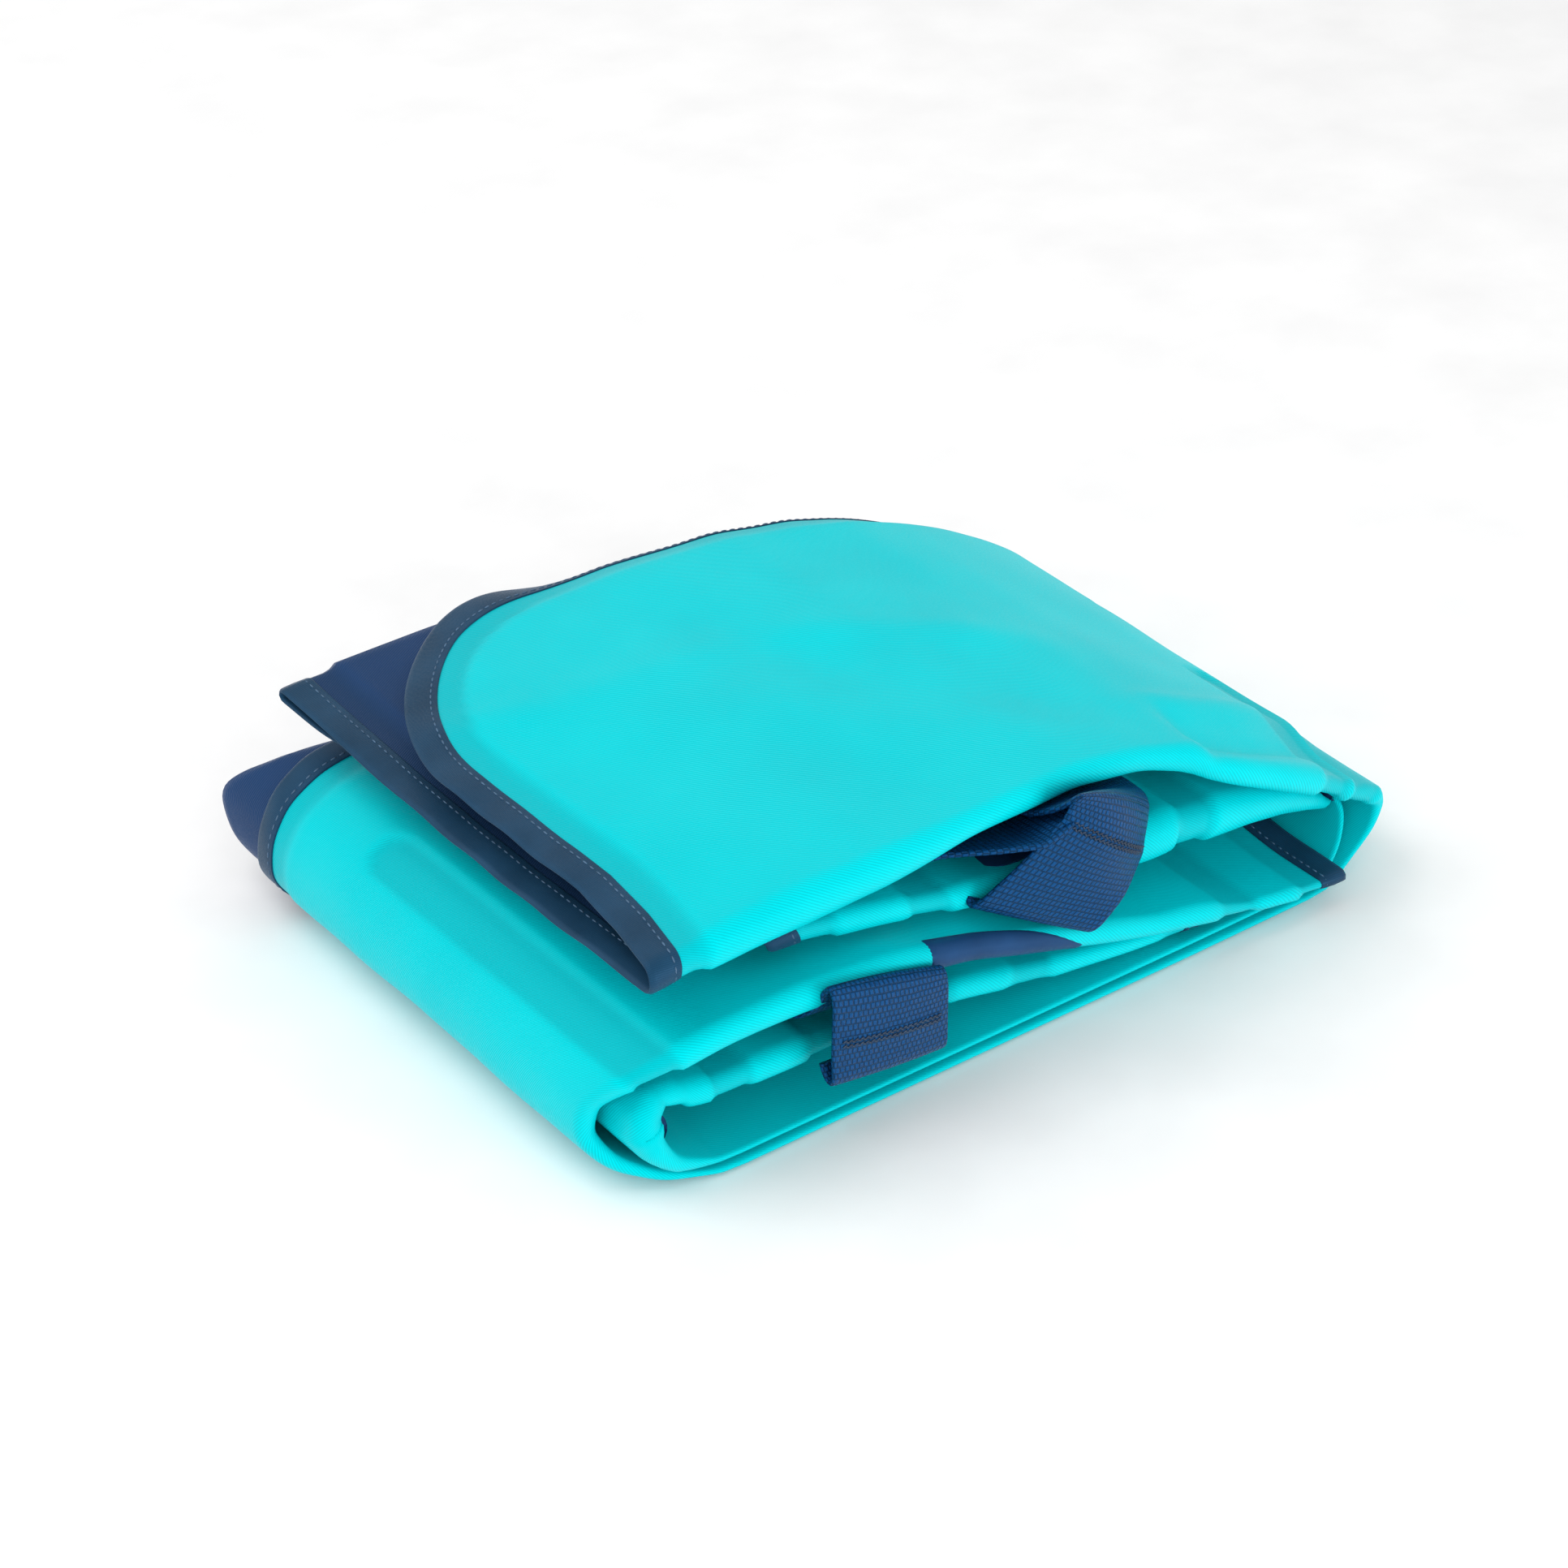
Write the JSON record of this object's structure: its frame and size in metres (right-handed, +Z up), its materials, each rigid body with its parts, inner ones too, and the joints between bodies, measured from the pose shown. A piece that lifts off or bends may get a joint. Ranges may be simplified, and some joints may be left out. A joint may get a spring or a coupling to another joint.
{
  "type": "folded inflatable mat",
  "caption": "Inflatable coated-fabric mat, air let out and folded into a flat pack, with bound edges, webbing carry handles and a capped valve.",
  "frame": {"origin": "middle of the box that the folded pack fills, on the surface it rests on", "axes": "+X from the loose bend to the tight wrap, +Y from the handle side to the back, +Z up"},
  "size_m": [0.28, 0.211, 0.0793],
  "materials": {
    "upper_face_fabric": "teal polyester twill, film coated inside, satin",
    "lower_face_fabric": "navy polyester, film coated inside, matt",
    "edge_tape": "navy folded satin binding tape, lockstitched",
    "handle_webbing": "navy blue polypropylene webbing",
    "weld_patch": "navy coated fabric patch, welded",
    "bar_thread": "navy bonded thread, bar tacked",
    "web_film": "welded film strips",
    "valve_plastic": "moulded navy plastic",
    "valve_rubber": "moulded silicone"
  },
  "bodies": {
    "base": {"bottom_outer_leaf": "upper_face_fabric", "bottom_inner_leaf": "upper_face_fabric", "left_bend_outer": "upper_face_fabric", "left_bend_inner": "upper_face_fabric", "middle_inner_leaf": "upper_face_fabric", "middle_outer_leaf": "upper_face_fabric", "middle_back_fold": "lower_face_fabric", "middle_side_binding": "edge_tape", "middle_end_binding": "edge_tape", "right_wrap_lower": "upper_face_fabric", "trim_patch": "weld_patch", "left_handle_tail": "handle_webbing", "left_handle_patch": "weld_patch"},
    "top_panel": {"right_wrap_upper": "upper_face_fabric", "top_flap_upper_face": "upper_face_fabric", "top_flap_lower_face": "lower_face_fabric", "top_flap_web_strips": "web_film", "top_flap_binding": "edge_tape", "top_front_fold": "upper_face_fabric", "top_second_layer": "lower_face_fabric", "top_second_binding": "edge_tape", "top_back_fold": "lower_face_fabric", "top_inner_leaf": "upper_face_fabric", "top_inner_binding": "edge_tape", "right_handle_tail": "handle_webbing", "right_handle_patch": "weld_patch", "valve_flange": "valve_plastic", "valve_neck": "valve_plastic", "valve_one_way_disc": "valve_rubber"},
    "left_handle": {"left_handle_loop": "handle_webbing", "left_handle_stitch": "bar_thread"},
    "right_handle": {"right_handle_loop": "handle_webbing", "right_handle_stitch": "bar_thread"},
    "valve_cap": {"valve_cap": "valve_plastic"}
  },
  "joints": [
    {"name": "top_panel_unfold", "type": "hinge", "parent": "base", "child": "top_panel", "pos_m": [0.14, 0.0015, 0.02], "axis": [0, 1, 0], "range_deg": [0, 160]},
    {"name": "left_handle_swing", "type": "hinge", "parent": "base", "child": "left_handle", "pos_m": [-0.0565, -0.09691, 0.043], "axis": [-1, 0, 0], "range_deg": [0, 90]},
    {"name": "right_handle_swing", "type": "hinge", "parent": "top_panel", "child": "right_handle", "pos_m": [0.011, -0.1, 0.065], "axis": [-0.9781, 0.2079, 0], "range_deg": [0, 80]},
    {"name": "valve_cap_twist", "type": "hinge", "parent": "top_panel", "child": "valve_cap", "pos_m": [-0.07, 0.01649, 0.072], "axis": [0, 0, 1], "range_deg": [0, 90]}
  ]
}
